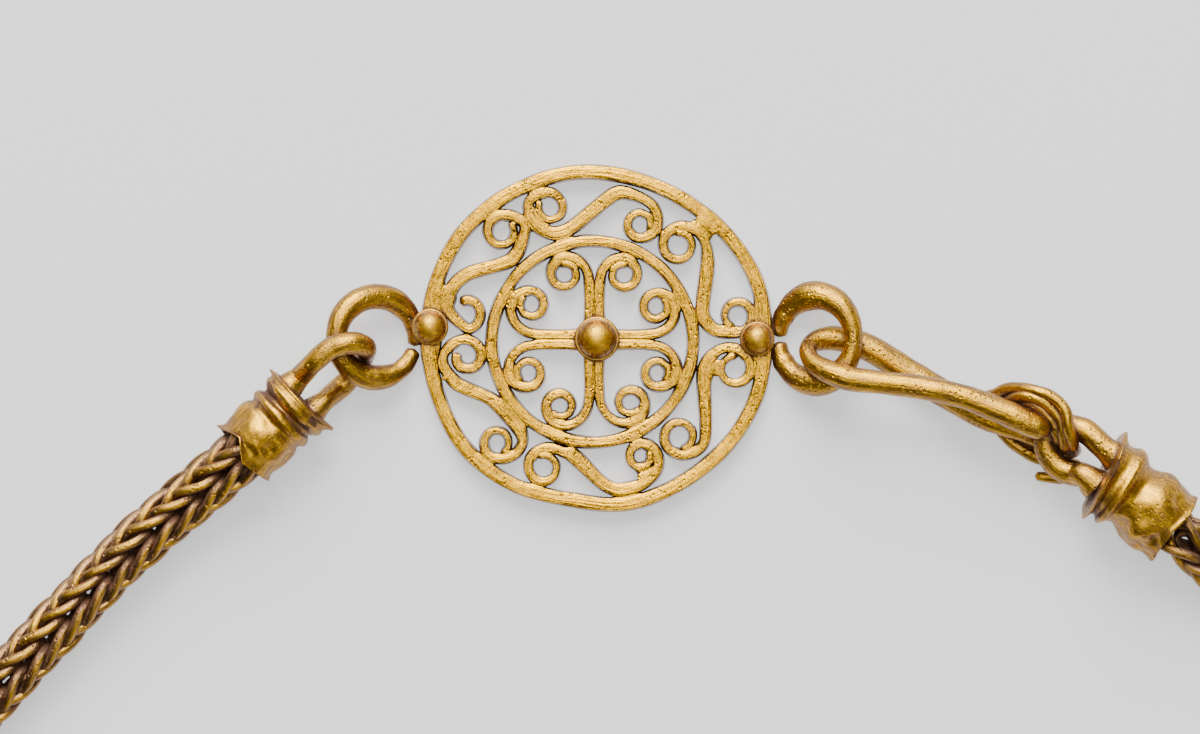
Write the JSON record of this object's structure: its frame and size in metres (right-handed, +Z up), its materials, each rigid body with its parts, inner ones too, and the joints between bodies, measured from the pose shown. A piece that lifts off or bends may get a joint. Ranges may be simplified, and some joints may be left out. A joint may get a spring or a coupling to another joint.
{
  "type": "loop-in-loop chain necklace",
  "caption": "Ancient gold necklace lying loose: openwork medallion of scrolled strip, wire rings, hook clasp, ribbed end caps and a plaited loop-in-loop chain.",
  "frame": {"origin": "middle of the necklace's footprint on the surface it lies on; Z = 0 is the medallion's flat back", "axes": "+Z up from the surface, +Y from the chain towards the medallion, +X to the right seen from above with the medallion at the top"},
  "size_m": [0.1246, 0.1238, 0.0069],
  "materials": {
    "gold": "worn, hammered high-carat gold with brown soil in its hollows"
  },
  "bodies": {
    "root": {"centre_bead": "gold", "chain": "gold", "clasp_hook": "gold", "cross_scroll_lower_left": "gold", "cross_scroll_lower_right": "gold", "cross_scroll_upper_left": "gold", "cross_scroll_upper_right": "gold", "left_bead": "gold", "left_cap": "gold", "left_cap_loop": "gold", "left_ring": "gold", "medallion_inner_hoop": "gold", "medallion_outer_hoop": "gold", "right_bead": "gold", "right_cap": "gold", "right_cap_loop": "gold", "right_ring": "gold", "scroll_bottom": "gold", "scroll_lower_left": "gold", "scroll_lower_right": "gold", "scroll_top": "gold", "scroll_upper_left": "gold", "scroll_upper_right": "gold"}
  },
  "joints": []
}
